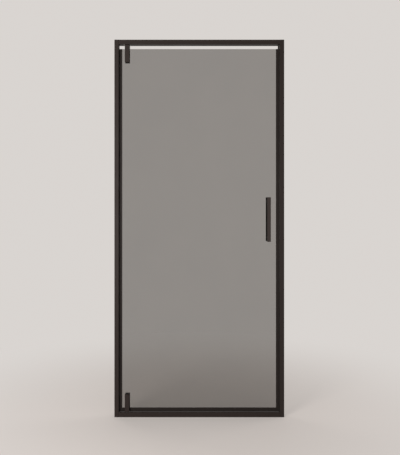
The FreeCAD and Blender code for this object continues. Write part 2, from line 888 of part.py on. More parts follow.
def hinge_edge_seal():
    """Clip on the hinge edge of the glass with a hollow bulb towards the jamb."""
    inner = half_glass + seal_fit
    outer = inner + seal_leg_wall
    edge = glass_left - seal_fit
    back = edge - seal_web
    tip = glass_left + hinge_seal_leg
    clip = upright([
        (tip, -outer, seal_leg_wall / 3), (tip, -inner), (edge, -inner), (edge, inner),
        (tip, inner), (tip, outer, seal_leg_wall / 3), (back, outer, seal_leg_wall / 2),
        (back, -outer, seal_leg_wall / 2),
    ], sill_face + seal_floor_gap, glass_top)
    bulb_tip = -opening_half + bulb_clearance
    bulb_radius = (back + bulb_sink - bulb_tip) / 2
    bulb_x = bulb_tip + bulb_radius
    foot = Vector(bulb_x, 0, sill_face + seal_floor_gap)
    head = Vector(bulb_x, 0, glass_top)
    bulb = rod(bulb_radius, foot, head)
    hollow = rod(bulb_radius - bulb_wall, foot, head)
    return fused([clip, bulb.cut(clip)]).cut(hollow.cut(clip))


def magnet_x_door():
    """Near and far X of the magnet strip in the door's seal."""
    nose = opening_half - holder_stand_out - magnet_air_gap
    return nose - magnet_skin - magnet_thickness, nose - magnet_skin


def strike_edge_seal():
    """Clip on the strike edge of the glass that holds the door's magnet strip behind its nose."""
    inner = half_glass + seal_fit
    outer = inner + seal_leg_wall
    edge = glass_right + seal_fit
    tip = glass_right - strike_seal_leg
    magnet_near, magnet_far = magnet_x_door()
    nose = magnet_far + magnet_skin
    low = sill_face + seal_floor_gap
    body = upright([
        (tip, -outer, seal_leg_wall / 3), (nose, -outer, seal_leg_wall / 2), (nose, outer, seal_leg_wall / 2),
        (tip, outer, seal_leg_wall / 3), (tip, inner), (edge, inner), (edge, -inner), (tip, -inner),
    ], low, glass_top)
    half_magnet = magnet_width / 2 + magnet_fit
    pocket = rectangle(magnet_near - magnet_fit, magnet_far + magnet_fit, -half_magnet, half_magnet)
    chamber = rectangle(edge + seal_web, magnet_near - magnet_skin, -half_magnet, half_magnet)
    return body.cut([upright(pocket, low, glass_top), upright(chamber, low, glass_top)])


def door_magnet():
    magnet_near, magnet_far = magnet_x_door()
    corners = rectangle(magnet_near, magnet_far, -magnet_width / 2, magnet_width / 2)
    return upright(corners, sill_face + seal_floor_gap, glass_top)


def strike_magnet_holder():
    """Snap-in strip in the jamb's slot; its box stands a little out of the jamb."""
    face = from_wall(1, jamb_face + holder_stand_out)
    shoulder = from_wall(1, jamb_face - slot_lip - holder_fit)
    foot = shoulder + holder_foot_thickness
    half_foot = holder_foot_width / 2
    half_box = magnet_width / 2 + magnet_fit + magnet_skin
    body = upright([
        (face, -half_box, holder_edge), (shoulder, -half_box), (shoulder, -half_foot), (foot, -half_foot),
        (foot, half_foot), (shoulder, half_foot), (shoulder, half_box), (face, half_box, holder_edge),
    ], holder_low, holder_high)
    magnet_near, magnet_far = strike_magnet_x()
    half_magnet = magnet_width / 2 + magnet_fit
    pocket = rectangle(magnet_near - magnet_fit, magnet_far + magnet_fit, -half_magnet, half_magnet)
    return body.cut(upright(pocket, holder_low, holder_high))


def strike_magnet_x():
    face = from_wall(1, jamb_face + holder_stand_out)
    return face + magnet_skin, face + magnet_skin + magnet_thickness


def strike_magnet():
    magnet_near, magnet_far = strike_magnet_x()
    corners = rectangle(magnet_near, magnet_far, -magnet_width / 2, magnet_width / 2)
    return upright(corners, holder_low, holder_high)


def drip_seal(left, right):
    """Clip on the bottom edge with a wiper over the sill and a blade that sheds water inward."""
    inner = half_glass + seal_fit
    outer = inner + seal_leg_wall
    edge = glass_bottom - seal_fit
    base = edge - seal_web
    top = glass_bottom + drip_leg
    wiper_low = sill_face + drip_wiper_gap
    wiper_front = drip_wiper_y - drip_wiper_thickness / 2
    wiper_back = drip_wiper_y + drip_wiper_thickness / 2
    blade_y = outer + drip_blade_reach
    blade_low = base - drip_blade_drop
    return level([
        (-outer, base, seal_leg_wall / 2), (wiper_front, base), (wiper_front, wiper_low),
        (wiper_back, wiper_low), (wiper_back, base), (outer - seal_leg_wall, base),
        (blade_y, blade_low), (blade_y, blade_low + drip_blade_thickness), (outer, base + seal_web),
        (outer, top, seal_leg_wall / 3), (inner, top), (inner, edge), (-inner, edge), (-inner, top),
        (-outer, top, seal_leg_wall / 3),
    ], left, right)


def main_drip_seal():
    left = block_x()[1] + seal_end_clearance
    right = glass_right - strike_seal_leg - seal_end_clearance
    return drip_seal(left, right)


def end_drip_seal():
    """Short piece between the hinge-edge seal and the bottom block."""
    left = glass_left + hinge_seal_leg + seal_end_clearance
    right = block_x()[0] - seal_end_clearance
    return drip_seal(left, right)


# ---------------------------------------------------------------------------------------------
# Handles, way = -1 room side and +1 shower side
# ---------------------------------------------------------------------------------------------

def handle_heights():
    return [handle_height - handle_post_pitch / 2, handle_height + handle_post_pitch / 2]


def handle_point(y, height):
    return Vector(handle_x, y, height)


def handle_bar(way):
    """Square-cut bar with softened edges and a blind hole for each post's spigot."""
    near = half_glass + handle_standoff
    far = near + handle_bar_thickness
    low = handle_height - handle_bar_length / 2
    bar = block((handle_x - handle_bar_width / 2, handle_x + handle_bar_width / 2),
                (way * near, way * far), (low, low + handle_bar_length))
    bar = bar.makeFillet(handle_bar_edge, bar.Edges)
    depth = handle_spigot_length + thread_clearance
    holes = []
    for height in handle_heights():
        start = handle_point(way * (near - tiny), height)
        end = handle_point(way * (near + depth), height)
        holes.append(rod(handle_spigot_radius + thread_clearance, start, end))
    return bar.cut(holes)


def handle_posts(way):
    """Turned posts: a spigot into the bar, a blind bore for the stud, a side hole for the set screw."""
    foot = half_glass + handle_washer_thickness
    shoulder = half_glass + handle_standoff
    posts = []
    for height in handle_heights():
        body = rod(handle_post_radius, handle_point(way * foot, height), handle_point(way * shoulder, height))
        spigot = rod(handle_spigot_radius, handle_point(way * shoulder, height),
                     handle_point(way * (shoulder + handle_spigot_length), height))
        bore = rod(handle_stud_radius + thread_clearance, handle_point(way * (foot - tiny), height),
                   handle_point(way * (foot + handle_stud_in_post + tiny), height))
        side = grub_axis(way, height)
        mouth = side - Vector(0, 0, handle_post_radius + tiny)
        grub_hole = rod(handle_grub_radius + thread_clearance, side, mouth)
        posts.append(fused([body, spigot]).cut([bore, grub_hole]))
    return posts


def grub_axis(way, height):
    """Point on the post's axis that the set screw points at."""
    foot = half_glass + handle_washer_thickness
    return handle_point(way * (foot + handle_stud_in_post / 2), height)


def handle_washers():
    washers = []
    for way in (-1, 1):
        for height in handle_heights():
            start = handle_point(way * half_glass, height)
            end = handle_point(way * (half_glass + handle_washer_thickness), height)
            disc = rod(handle_washer_radius, start, end)
            washers.append(disc.cut(rod(handle_stud_radius + screw_hole_clearance, start, end)))
    return washers


def handle_bushes():
    """Sleeves that keep the studs off the glass."""
    sleeves = []
    for height in handle_heights():
        front = handle_point(-half_glass, height)
        back = handle_point(half_glass, height)
        sleeve = rod(handle_bush_radius - clamp_bush_fit, front, back)
        sleeves.append(sleeve.cut(rod(handle_stud_radius + screw_hole_clearance, front, back)))
    return sleeves


def handle_studs():
    reach = half_glass + handle_washer_thickness + handle_stud_in_post
    return [rod(handle_stud_radius, handle_point(-reach, height), handle_point(reach, height))
            for height in handle_heights()]


def handle_set_screws():
    screws = []
    down = Vector(0, 0, -1)
    for way in (-1, 1):
        for height in handle_heights():
            top = grub_axis(way, height) + down * (handle_stud_radius + thread_clearance)
            mouth = top + down * handle_grub_length
            screw = rod(handle_grub_radius, top, mouth)
            socket = hexagon_socket(handle_grub_socket, handle_grub_socket_depth, mouth, Vector(0, 0, 1))
            screws.append(screw.cut(socket))
    return screws


# ---------------------------------------------------------------------------------------------
# Every piece in its own file
# ---------------------------------------------------------------------------------------------

def save_frame():
    save("hinge_wall_channel", wall_channel(-1))
    save("strike_wall_channel", wall_channel(1))
    save("hinge_jamb", hinge_jamb())
    save("strike_jamb", strike_jamb())
    save("hinge_jamb_cap", jamb_cap(-1))
    save("strike_jamb_cap", jamb_cap(1))
    save("header_rail", header_rail())
    save("sill_rail", sill_rail())
    save("corner_screws", *corner_screws())
    save("jamb_fixing_screws", *fixing_screws())
    save("screw_snap_caps", *snap_caps())
    save("strike_magnet_holder", strike_magnet_holder())
    save("strike_magnet", strike_magnet())
    save("closing_stop_strip", closing_stop_strip())
    save("thrust_washer", thrust_washer())


def save_pivot(end, name):
    save(name + "_pivot_housing", pivot_housing(end))
    save(name + "_housing_screws", *housing_screws(end, countersunk_screw))
    save(name + "_pivot_bush", pivot_bush(end))
    save(name + "_pivot_pin", pivot_pin(end))
    save(name + "_pin_set_screw", pin_set_screw(end))
    save(name + "_pivot_body", pivot_body(end))
    save(name + "_pivot_clamp", pivot_clamp(end))
    save(name + "_front_gasket", gasket(end, -1))
    save(name + "_back_gasket", gasket(end, 1))
    save(name + "_clamp_screws", *clamp_screws(end))
    save(name + "_clamp_bushes", *clamp_bushes(end))


def save_leaf():
    save("glass_panel", glass_panel())
    save("hinge_edge_seal", hinge_edge_seal())
    save("strike_edge_seal", strike_edge_seal())
    save("door_magnet", door_magnet())
    save("bottom_drip_seal", main_drip_seal())
    save("bottom_drip_seal_end", end_drip_seal())
    save("outer_handle_bar", handle_bar(-1))
    save("inner_handle_bar", handle_bar(1))
    save("outer_handle_posts", *handle_posts(-1))
    save("inner_handle_posts", *handle_posts(1))
    save("handle_washers", *handle_washers())
    save("handle_bushes", *handle_bushes())
    save("handle_studs", *handle_studs())
    save("handle_set_screws", *handle_set_screws())


os.makedirs("parts", exist_ok=True)
save_frame()
save_pivot(1, "top")
save_pivot(-1, "bottom")
save_leaf()
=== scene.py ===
# %% [markdown]
# # A framed pivot shower door
#
# The object is an alcove shower door: a black aluminium frame, and a leaf of smoked glass that turns
# on two pins set in from its hinge edge. The CAD model already has every rigid piece at its real size.
# This notebook loads that model as a fixed frame and gives it its surfaces, its small threaded parts,
# a studio and a camera. Lengths are metres, X runs from the hinge side to the strike side, the room is
# at -Y, the shower at +Y, and the origin is on the tray under the middle of the frame.

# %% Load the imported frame
import json
import math

import bmesh
import bpy
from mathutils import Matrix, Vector

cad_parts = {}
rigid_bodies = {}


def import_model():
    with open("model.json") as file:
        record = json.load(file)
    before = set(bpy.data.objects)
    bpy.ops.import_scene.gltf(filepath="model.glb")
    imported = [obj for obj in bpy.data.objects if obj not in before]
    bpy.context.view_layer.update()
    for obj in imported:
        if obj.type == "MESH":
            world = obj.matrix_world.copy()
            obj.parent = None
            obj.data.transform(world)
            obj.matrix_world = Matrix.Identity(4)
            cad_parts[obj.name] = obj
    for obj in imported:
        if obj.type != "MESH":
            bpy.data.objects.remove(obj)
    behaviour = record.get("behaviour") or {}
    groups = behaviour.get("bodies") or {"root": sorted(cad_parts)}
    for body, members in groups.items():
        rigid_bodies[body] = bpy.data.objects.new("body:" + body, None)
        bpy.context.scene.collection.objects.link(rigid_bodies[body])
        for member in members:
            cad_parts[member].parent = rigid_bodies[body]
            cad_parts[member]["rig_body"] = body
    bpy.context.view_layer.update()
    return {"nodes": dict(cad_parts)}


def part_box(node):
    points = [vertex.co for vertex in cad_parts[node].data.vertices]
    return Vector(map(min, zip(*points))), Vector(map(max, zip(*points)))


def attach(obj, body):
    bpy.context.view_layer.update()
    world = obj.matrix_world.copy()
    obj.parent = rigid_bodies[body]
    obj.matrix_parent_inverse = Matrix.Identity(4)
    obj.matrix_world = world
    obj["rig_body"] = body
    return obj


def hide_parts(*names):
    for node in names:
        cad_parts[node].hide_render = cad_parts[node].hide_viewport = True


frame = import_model()
MM = 0.001

# %% [markdown]
# ## The camera
#
# The photograph is level and square to the door. The eye's place, about three metres away and a little
# above the handle, was fitted to it. A level camera keeps the jambs parallel, so the picture is moved
# with the lens shift instead of tilting the camera. The pixel values are where the door's vanishing
# point lies in the photograph.

# %% Camera
PHOTO_SIZE = (400, 455)
VANISHING_POINT = (199.3, 204.05)
FOCAL_PIXELS = 566.4
SENSOR = 36.0
EYE = Vector((0.0, -3.019, 1.129))

lens = bpy.data.cameras.new("photo_camera")
lens.sensor_width = SENSOR
lens.lens = SENSOR * FOCAL_PIXELS / max(PHOTO_SIZE)
lens.shift_x = (PHOTO_SIZE[0] / 2 - VANISHING_POINT[0]) / max(PHOTO_SIZE)
lens.shift_y = (VANISHING_POINT[1] - PHOTO_SIZE[1] / 2) / max(PHOTO_SIZE)
camera = bpy.data.objects.new("photo_camera", lens)
camera.location = EYE
camera.rotation_euler = (math.radians(90), 0, 0)
bpy.context.scene.collection.objects.link(camera)
bpy.context.scene.camera = camera
bpy.context.scene.view_settings.view_transform = "Standard"
print("lens mm:", round(lens.lens, 2), "shift:", round(lens.shift_x, 4), round(lens.shift_y, 4))

# %% [markdown]
# ## Small helpers for shader nodes
#
# A material is a tree of nodes. Writing each node as one call, with its settings, its plain values and
# its incoming links together, keeps a material short enough to read from top to bottom.

# %% Node helpers
def add(tree, kind, values=None, **settings):
    """One node. A value that is a socket of another node becomes a link."""
    node = tree.nodes.new(kind)
    for name, setting in settings.items():
        setattr(node, name, setting)
    for name, value in (values or {}).items():
        if isinstance(value, bpy.types.NodeSocket):
            tree.links.new(value, node.inputs[name])
        else:
            node.inputs[name].default_value = value
    return node


def calculate(tree, operation, first, second=0.0, third=0.0):
    """A Math node's result."""
    node = add(tree, "ShaderNodeMath", {0: first, 1: second, 2: third}, operation=operation)
    return node.outputs["Value"]


def stretch(tree, value, low, high, to_low=0.0, to_high=1.0):
    """A value carried smoothly from one range to another, held at both ends."""
    values = {"Value": value, "From Min": low, "From Max": high, "To Min": to_low, "To Max": to_high}
    node = add(tree, "ShaderNodeMapRange", values, interpolation_type="SMOOTHSTEP")
    return node.outputs["Result"]


def blend_colours(tree, share, first, second):
    """A colour between two, by a share."""
    node = add(tree, "ShaderNodeMix", {"Factor": share}, data_type="RGBA")
    for socket, colour in ((node.inputs[6], first), (node.inputs[7], second)):
        if isinstance(colour, bpy.types.NodeSocket):
            tree.links.new(colour, socket)
        else:
            socket.default_value = (*colour, 1.0)
    return node.outputs[2]


def surface_points(tree):
    """Where a point of the surface lies, in metres, carried along when the door swings."""
    return add(tree, "ShaderNodeTexCoord").outputs["Object"]


def new_group(name, inputs, outputs):
    """An empty shader node group with named inputs and outputs."""
    tree = bpy.data.node_groups.new(name, "ShaderNodeTree")
    for title, value in inputs.items():
        kind = "NodeSocketVector" if isinstance(value, tuple) else "NodeSocketFloat"
        tree.interface.new_socket(title, in_out="INPUT", socket_type=kind).default_value = value
    for title in outputs:
        tree.interface.new_socket(title, in_out="OUTPUT", socket_type="NodeSocketFloat")
    given = tree.nodes.new("NodeGroupInput").outputs
    result = tree.nodes.new("NodeGroupOutput").inputs
    return tree, given, result


def place_group(tree, group, **values):
    """A group in a material. Words of an input's name are joined with _ here."""
    node = add(tree, "ShaderNodeGroup", node_tree=group)
    for name, value in values.items():
        socket = node.inputs[name.replace("_", " ")]
        if isinstance(value, bpy.types.NodeSocket):
            tree.links.new(value, socket)
        else:
            socket.default_value = value
    return node.outputs


print("helpers ready")

# %% [markdown]
# ## Effects that several finishes share
#
# Grain, slow changes, drawn lines and rubbed edges turn up on powder coat, plastic, seals and metal,
# each time at another size. Each effect is a node group, built once. A group hands out only a height or
# a mask. The shader stays in the material, where the plain numbers of its sockets can be read.

# %% Group: pebbled grain
def build_grain():
    """Small rounded pits and bumps, as powder coat and moulded plastic have."""
    tree, given, result = new_group("pebbled_grain", {"Size": 0.0006, "Coarse Share": 0.35}, ["Height"])
    points = surface_points(tree)
    scale = calculate(tree, "DIVIDE", 1.0, given["Size"])
    values = {"Vector": points, "Scale": scale, "Detail": 2.0, "Roughness": 0.55}
    fine = add(tree, "ShaderNodeTexNoise", values)
    wide = calculate(tree, "DIVIDE", scale, 4.0)
    coarse = add(tree, "ShaderNodeTexNoise", {"Vector": points, "Scale": wide, "Detail": 1.0})
    values = {0: given["Coarse Share"], 2: fine.outputs[0], 3: coarse.outputs[0]}
    height = add(tree, "ShaderNodeMix", values)
    tree.links.new(height.outputs[0], result["Height"])
    return tree


grain_group = build_grain()
print("group:", grain_group.name)

# %% [markdown]
# Nothing made in a factory is the same all over. Thickness of paint, skin oil from hands and the last
# wipe with a cloth change how a surface shines over some centimetres. One slow noise stands for all of
# these, and each material chooses its own size for it.

# %% Group: slow change
def build_slow_change():
    """A mask that drifts over centimetres, between 0 and 1."""
    tree, given, result = new_group("slow_change", {"Size": 0.12, "Contrast": 0.25}, ["Mask"])
    scale = calculate(tree, "DIVIDE", 1.0, given["Size"])
    values = {"Vector": surface_points(tree), "Scale": scale, "Detail": 3.0, "Roughness": 0.6}
    noise = add(tree, "ShaderNodeTexNoise", values).outputs[0]
    low = calculate(tree, "SUBTRACT", 0.5, given["Contrast"])
    high = calculate(tree, "ADD", 0.5, given["Contrast"])
    tree.links.new(stretch(tree, noise, low, high), result["Mask"])
    return tree


slow_group = build_slow_change()
print("group:", slow_group.name)

# %% [markdown]
# Aluminium profiles and plastic seals are pushed through a die, which leaves faint lines along their
# whole length. Turned pins have the same lines around them. A noise that is squeezed across the lines
# and stretched along them draws both: the group takes how far the pattern reaches along X, Y and Z.

# %% Group: drawn lines
def build_drawn_lines():
    """Long streaks. Reach says how far the pattern runs along each axis."""
    tree, given, result = new_group("drawn_lines", {"Reach": (0.001, 0.001, 0.5)}, ["Height"])
    values = {0: surface_points(tree), 1: given["Reach"]}
    divide = add(tree, "ShaderNodeVectorMath", values, operation="DIVIDE")
    values = {"Vector": divide.outputs[0], "Scale": 1.0, "Detail": 3.0, "Roughness": 0.65}
    noise = add(tree, "ShaderNodeTexNoise", values)
    tree.links.new(noise.outputs[0], result["Height"])
    return tree


lines_group = build_drawn_lines()
print("group:", lines_group.name)

# %% [markdown]
# Corners catch cloths, rings and sleeves first, and powder coat also draws thin over a sharp edge. The
# Bevel node gives the normal that a rounded edge would have, so where it parts from the true normal
# there is an edge. A noise breaks the line up, because wear is never even.

# %% Group: rubbed edges
def build_edge_rub():
    """A mask that is high along edges and broken up along them."""
    tree, given, result = new_group("edge_rub", {"Width": 0.0008, "Patch Size": 0.03}, ["Mask"])
    rounded = add(tree, "ShaderNodeBevel", {"Radius": given["Width"]}, samples=4)
    true = add(tree, "ShaderNodeNewGeometry").outputs["Normal"]
    values = {0: rounded.outputs["Normal"], 1: true}
    agreement = add(tree, "ShaderNodeVectorMath", values, operation="DOT_PRODUCT").outputs["Value"]
    edge = stretch(tree, agreement, 0.995, 0.86)
    scale = calculate(tree, "DIVIDE", 1.0, given["Patch Size"])
    values = {"Vector": surface_points(tree), "Scale": scale, "Detail": 4.0}
    patches = stretch(tree, add(tree, "ShaderNodeTexNoise", values).outputs[0], 0.40, 0.62, 0.35, 1.0)
    tree.links.new(calculate(tree, "MULTIPLY", edge, patches), result["Mask"])
    return tree


edge_group = build_edge_rub()
print("group:", edge_group.name)

# %% [markdown]
# Settled dust and filler specks are tiny pale dots. A cell pattern gives a dot per cell, and keeping
# only the cells whose centres are very near makes them small and far apart.

# %% Group: specks
def build_specks():
    """A mask of small dots, few or many by their share of the cell."""
    tree, given, result = new_group("specks", {"Spacing": 0.004, "Dot Share": 0.16}, ["Mask"])
    scale = calculate(tree, "DIVIDE", 1.0, given["Spacing"])
    cells = add(tree, "ShaderNodeTexVoronoi", {"Vector": surface_points(tree), "Scale": scale})
    dot = calculate(tree, "LESS_THAN", cells.outputs["Distance"], given["Dot Share"])
    tree.links.new(dot, result["Mask"])
    return tree


speck_group = build_specks()
print("group:", speck_group.name)

# %% [markdown]
# ## Finishes
#
# Every material starts the same way: a Principled shader, with its even values set on its own sockets
# because those survive an export, and with grain and masks linked only to colour, roughness and normal.

# %% Material helpers
def new_material(name, **even_values):
    """A material with one Principled shader. Words of a socket's name are joined with _ here."""
    material = bpy.data.materials.new(name)
    material.use_nodes = True
    tree = material.node_tree
    shader = tree.nodes["Principled BSDF"]
    for title, value in even_values.items():
        shader.inputs[title.replace("_", " ")].default_value = value
    return material, tree, shader


def raise_surface(tree, shader, height, distance, strength=1.0):
    """Puts a height on the shader's normal. Distance is how far a height of 1 stands out."""
    bump = add(tree, "ShaderNodeBump", {"Height": height, "Distance": distance, "Strength": strength})
    tree.links.new(bump.outputs["Normal"], shader.inputs["Normal"])


def vary(tree, shader, mask, dark, pale, smooth, rough):
    """Colour and roughness that follow one mask."""
    tree.links.new(blend_colours(tree, mask, dark, pale), shader.inputs["Base Color"])
    tree.links.new(stretch(tree, mask, 0.0, 1.0, smooth, rough), shader.inputs["Roughness"])


def rub_edges(tree, shader, width, patch, share, bare):
    """Blends a share of another colour over the one that is there, along the edges."""
    rub = place_group(tree, edge_group, Width=width, Patch_Size=patch)["Mask"]
    skin = shader.inputs["Base Color"].links[0].from_socket
    worn = blend_colours(tree, calculate(tree, "MULTIPLY", rub, share), skin, bare)
    tree.links.new(worn, shader.inputs["Base Color"])


finishes = {}
print("material helpers ready")

# %% [markdown]
# ### Black powder coat
#
# The frame, the pivot blocks and the handles are aluminium with one matt black powder coat. It is a
# warm black, never fully dark, with a fine pebbled skin. It dries a touch thinner, and so a touch
# paler, on the edges. The handles show a little paler than the jamb beside them. Their version, the
# same steps with a paler colour and more shine, is painted light: the coat is the same, and the paler
# copy stands in for the extra light that the handles catch. Why isn't known, so the handles' version,
# the same steps with a paler colour and more shine, is an assumption. The colours and the shine were
# fitted to the photograph.

# %% Finish: black powder coat
def make_powder_coat(name, dark, pale, roughness, shine):
    material, tree, shader = new_material(name, Specular_IOR_Level=shine)
    cloud = place_group(tree, slow_group, Size=0.16, Contrast=0.30)["Mask"]
    vary(tree, shader, cloud, dark, pale, roughness, roughness + 0.08)
    rub_edges(tree, shader, 0.0009, 0.05, 0.2, (0.050, 0.039, 0.034))
    grain = place_group(tree, grain_group, Size=0.00055, Coarse_Share=0.3)["Height"]
    raise_surface(tree, shader, grain, 0.00006)
    return material


finishes["black_powder_coat"] = make_powder_coat(
    "powder_coat_frame", (0.0125, 0.0072, 0.0056), (0.0150, 0.0088, 0.0070), 0.55, 0.26)
# The handles' copy of the coat: paler and shinier, painted light for the extra light the handles catch.
handle_coat_painted_light = make_powder_coat(
    "powder_coat_handle_painted_light", (0.0180, 0.0113, 0.0091), (0.0205, 0.0130, 0.0107), 0.57, 0.36)
print("finishes:", finishes["black_powder_coat"].name, handle_coat_painted_light.name)

# %% [markdown]
# ### Mill aluminium
#
# The pivot housings stay bare: they sit inside the header and the sill. They are cut from a bright
# extrusion that lies across the door, so its drawn lines run across too.

# %% Finish: mill aluminium
def make_mill_aluminium():
    material, tree, shader = new_material("mill_aluminium_finish", Metallic=1.0, Anisotropic=0.35)
    lines = place_group(tree, lines_group, Reach=(0.2, 0.0006, 0.0006))["Height"]
    cloud = place_group(tree, slow_group, Size=0.07, Contrast=0.3)["Mask"]
    shade = calculate(tree, "MULTIPLY_ADD", lines, 0.6, calculate(tree, "MULTIPLY", cloud, 0.3))
    vary(tree, shader, shade, (0.50, 0.50, 0.495), (0.66, 0.66, 0.65), 0.28, 0.46)
    raise_surface(tree, shader, lines, 0.00004, 0.6)
    return material


finishes["mill_aluminium"] = make_mill_aluminium()
print("finish:", finishes["mill_aluminium"].name)

# %% [markdown]
# ### Smoked glass
#
# The leaf is 6 mm of toughened glass with a grey tint in its body, so it takes light by depth: a
# volume that absorbs shows this better than a coloured surface, and makes the polished edges dark.
# Toughening leaves faint roller waves, one every 30 cm or so, and a wiped pane is never evenly clean.
# Glass would stop lamplight in this renderer, so rays that ask for a lamp pass a see-through shader.

# %% Finish: smoked glass
GLASS_TINT = (0.30, 0.285, 0.265, 1.0)
GLASS_DENSITY = 224.0


def make_smoked_glass():
    material, tree, shader = new_material("smoked_glass_finish", Transmission_Weight=1.0, IOR=1.5)
    film = place_group(tree, slow_group, Size=0.22, Contrast=0.3)["Mask"]
    tree.links.new(stretch(tree, film, 0.0, 1.0, 0.0, 0.035), shader.inputs["Roughness"])
    tint = blend_colours(tree, film, (0.99, 0.985, 0.98), (0.96, 0.96, 0.96))
    tree.links.new(tint, shader.inputs["Base Color"])
    waves = place_group(tree, lines_group, Reach=(1.2, 1.2, 0.3))["Height"]
    raise_surface(tree, shader, waves, 0.0006, 0.35)
    output = tree.nodes["Material Output"]
    passing = add(tree, "ShaderNodeBsdfTransparent", {"Color": (0.96, 0.96, 0.96, 1.0)})
    asks_lamp = add(tree, "ShaderNodeLightPath").outputs["Is Shadow Ray"]
    values = {0: asks_lamp, 1: shader.outputs[0], 2: passing.outputs[0]}
    tree.links.new(add(tree, "ShaderNodeMixShader", values).outputs[0], output.inputs["Surface"])
    values = {"Color": GLASS_TINT, "Density": GLASS_DENSITY}
    body = add(tree, "ShaderNodeVolumeAbsorption", values).outputs["Volume"]
    tree.links.new(body, output.inputs["Volume"])
    return material


finishes["smoked_glass"] = make_smoked_glass()
print("finish:", finishes["smoked_glass"].name)

# %% [markdown]
# ### Black seals
#
# The seals that clip on the glass are soft black PVC. They are matt, a little waxy, and carry die
# lines along their length. Each seal runs its own way, so the upright ones and the drip seal, which
# lies across, get their own reach.

# %% Finish: black seal
def make_black_seal(name, reach):
    material, tree, shader = new_material(name, Specular_IOR_Level=0.17)
    lines = place_group(tree, lines_group, Reach=reach)["Height"]
    vary(tree, shader, lines, (0.0110, 0.0078, 0.0066), (0.0150, 0.0110, 0.0095), 0.5, 0.62)
    raise_surface(tree, shader, lines, 0.00003, 0.6)
    return material


finishes["black_seal"] = make_black_seal("black_seal_upright", (0.0009, 0.0009, 0.8))
across_seal = make_black_seal("black_seal_across", (0.8, 0.0009, 0.0009))
print("finishes:", finishes["black_seal"].name, across_seal.name)

# %% [markdown]
# ### Moulded black plastic
#
# The jamb end caps, the magnet's holder, the snap caps over the screws and the handles' washers and
# bushes are moulded with a fine spark-eroded grain, a little glossier than the powder coat beside them.

# %% Finish: black plastic
def make_black_plastic():
    material, tree, shader = new_material("black_plastic_finish", Specular_IOR_Level=0.5)
    cloud = place_group(tree, slow_group, Size=0.03, Contrast=0.3)["Mask"]
    vary(tree, shader, cloud, (0.017, 0.0155, 0.015), (0.024, 0.0222, 0.0215), 0.36, 0.5)
    grain = place_group(tree, grain_group, Size=0.0004, Coarse_Share=0.15)["Height"]
    raise_surface(tree, shader, grain, 0.00005)
    return material


finishes["black_plastic"] = make_black_plastic()
print("finish:", finishes["black_plastic"].name)

# %% [markdown]
# ### White acetal
#
# The bushes and the washer that the pins turn in are turned from white acetal, a waxy plastic that
# lets light a little way in. The cutting tool leaves rings about the pivot line, which a wave pattern
# of rings draws once its centre is put on that line.

# %% Finish: white acetal
def make_white_acetal():
    material, tree, shader = new_material("white_acetal_finish", Subsurface_Weight=0.15)
    shader.inputs["Subsurface Radius"].default_value = (0.0012, 0.0011, 0.0010)
    pin_low, pin_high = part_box("top_pivot_pin")
    to_axis = -(pin_low + pin_high) / 2
    shifted = add(tree, "ShaderNodeMapping", {"Vector": surface_points(tree), "Location": to_axis})
    values = {"Vector": shifted.outputs[0], "Scale": 700.0, "Distortion": 0.4, "Detail": 2.0}
    wave = add(tree, "ShaderNodeTexWave", values, wave_type="RINGS", rings_direction="Z")
    rings = wave.outputs["Fac"]
    vary(tree, shader, rings, (0.70, 0.69, 0.655), (0.78, 0.77, 0.735), 0.32, 0.44)
    raise_surface(tree, shader, rings, 0.00002, 0.5)
    return material


finishes["white_acetal"] = make_white_acetal()
print("finish:", finishes["white_acetal"].name)

# %% [markdown]
# ### Clear vinyl
#
# The thin bushes that keep the clamp screws off the glass are translucent vinyl, slightly blue-grey
# and milky. Part of the light goes through and the rest is scattered by a soft cloudiness.

# %% Finish: clear vinyl
def make_clear_vinyl():
    material, tree, shader = new_material("clear_vinyl_finish", Transmission_Weight=0.55, IOR=1.46)
    cloud = place_group(tree, slow_group, Size=0.006, Contrast=0.3)["Mask"]
    vary(tree, shader, cloud, (0.62, 0.64, 0.64), (0.74, 0.75, 0.75), 0.2, 0.36)
    grain = place_group(tree, grain_group, Size=0.0008, Coarse_Share=0.5)["Height"]
    raise_surface(tree, shader, grain, 0.00002, 0.5)
    return material


finishes["clear_vinyl"] = make_clear_vinyl()
print("finish:", finishes["clear_vinyl"].name)

# %% [markdown]
# ### Grey gasket
#
# The pads between the pivot blocks and the glass are rubber with chopped fibres, which show as short
# pale flecks in a dull dark grey. The flecks are drawn lines with a short reach.

# %% Finish: grey gasket
def make_grey_gasket():
    material, tree, shader = new_material("grey_gasket_finish", Specular_IOR_Level=0.3)
    fibres = place_group(tree, lines_group, Reach=(0.0005, 0.0005, 0.004))["Height"]
    flecks = stretch(tree, fibres, 0.56, 0.72)
    vary(tree, shader, flecks, (0.045, 0.045, 0.046), (0.12, 0.118, 0.112), 0.82, 0.68)
    grain = place_group(tree, grain_group, Size=0.0005, Coarse_Share=0.4)["Height"]
    raise_surface(tree, shader, grain, 0.00008)
    return material


finishes["grey_gasket"] = make_grey_gasket()
print("finish:", finishes["grey_gasket"].name)

# %% [markdown]
# ### Magnet strip
#
# The two magnets are ferrite powder bound in rubber: brown-black, dead matt, with grey specks of
# filler and the die's lines along them.

# %% Finish: magnet strip
def make_magnet_strip():
    material, tree, shader = new_material("magnet_strip_finish", Specular_IOR_Level=0.3)
    specks = place_group(tree, speck_group, Spacing=0.0012, Dot_Share=0.22)["Mask"]
    vary(tree, shader, specks, (0.040, 0.035, 0.031), (0.11, 0.105, 0.10), 0.78, 0.6)
    lines = place_group(tree, lines_group, Reach=(0.0006, 0.0006, 0.5))["Height"]
    raise_surface(tree, shader, lines, 0.00005)
    return material


finishes["magnet_strip"] = make_magnet_strip()
print("finish:", finishes["magnet_strip"].name)

# %% [markdown]
# ### Stainless steel
#
# Pins and screws are stainless steel. Fine scratches go round them, and the steel is a little warm. The
# scratches are short drawn lines, lying across the height because pins stand upright.

